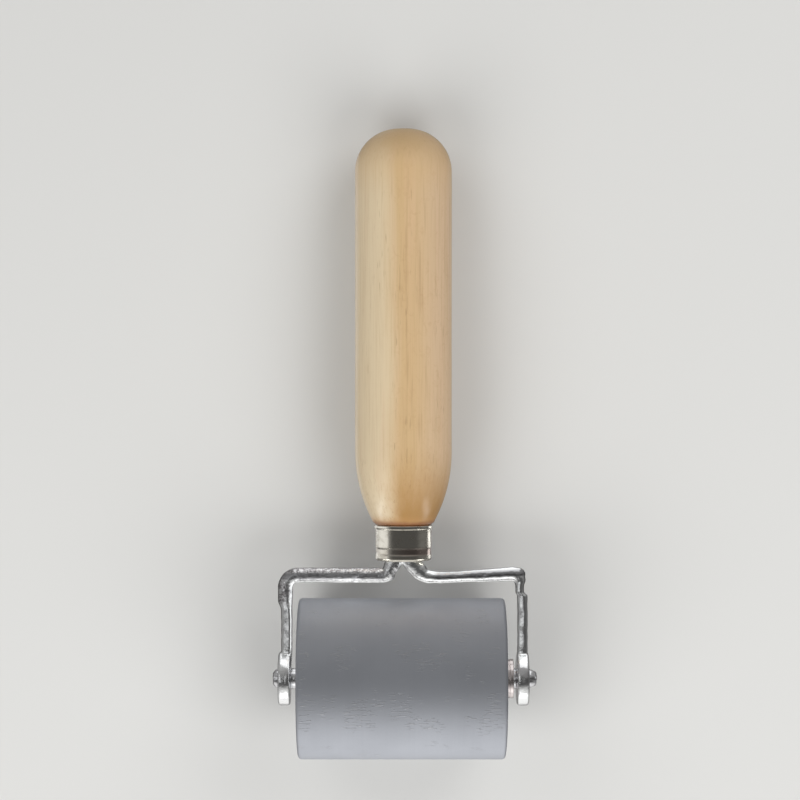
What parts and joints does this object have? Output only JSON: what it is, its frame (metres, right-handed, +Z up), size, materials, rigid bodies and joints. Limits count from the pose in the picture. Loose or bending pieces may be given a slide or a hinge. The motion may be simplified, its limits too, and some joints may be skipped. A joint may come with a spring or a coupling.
{
  "type": "seam roller",
  "caption": "Hand seam roller: a smooth metal drum on shielded ball bearings in a forged yoke, with a ferrule and a turned wooden handle.",
  "frame": {"origin": "the point of the flat surface under the middle of the axle, where the drum rests, with the tool lying on its drum and on the rounding of the handle's end", "axes": "+X along the axle towards the thrust collar, +Y from the drum towards the handle's end, +Z up from the surface"},
  "size_m": [0.082, 0.1964, 0.05],
  "materials": {
    "maple": "clear lacquer over fine grain",
    "nickel_plate": "bright nickel plate, slightly warm",
    "zinc_plated_steel": "bright zinc plate over a forged surface",
    "axle_steel": "plain steel, peened at both ends",
    "aluminium": "satin turned surface",
    "bearing_steel": "ground and polished",
    "pressed_steel": "pressed sheet",
    "collar_steel": "turned, warm grey"
  },
  "bodies": {
    "frame": {"handle": "maple", "ferrule": "nickel_plate", "fork": "zinc_plated_steel", "axle": "axle_steel"},
    "bearing_core": {"left_inner_ring": "bearing_steel", "right_inner_ring": "bearing_steel", "spacer_sleeve": "bearing_steel", "thrust_collar": "collar_steel"},
    "drum_unit": {"drum": "aluminium", "left_outer_ring": "bearing_steel", "left_outboard_shield": "pressed_steel", "left_outboard_snap_ring": "pressed_steel", "left_inboard_shield": "pressed_steel", "left_inboard_snap_ring": "pressed_steel", "right_outer_ring": "bearing_steel", "right_outboard_shield": "pressed_steel", "right_outboard_snap_ring": "pressed_steel", "right_inboard_shield": "pressed_steel", "right_inboard_snap_ring": "pressed_steel"},
    "left_ball_set": {"left_balls": "bearing_steel", "left_cage": "pressed_steel"},
    "right_ball_set": {"right_balls": "bearing_steel", "right_cage": "pressed_steel"}
  },
  "joints": [
    {"name": "axial_float", "type": "slide", "parent": "frame", "child": "bearing_core", "axis": [1, 0, 0], "range_m": [-0.0016, 0.0009]},
    {"name": "drum_spin", "type": "hinge", "parent": "bearing_core", "child": "drum_unit", "pos_m": [0, 0, 0.025], "axis": [1, 0, 0], "continuous": true},
    {"name": "left_ball_orbit", "type": "hinge", "parent": "bearing_core", "child": "left_ball_set", "pos_m": [0, 0, 0.025], "axis": [1, 0, 0], "continuous": true},
    {"name": "right_ball_orbit", "type": "hinge", "parent": "bearing_core", "child": "right_ball_set", "pos_m": [0, 0, 0.025], "axis": [1, 0, 0], "continuous": true}
  ],
  "couplings": [
    {"joint": "left_ball_orbit", "follows": "drum_spin", "ratio": 0.60716},
    {"joint": "right_ball_orbit", "follows": "drum_spin", "ratio": 0.60716}
  ]
}
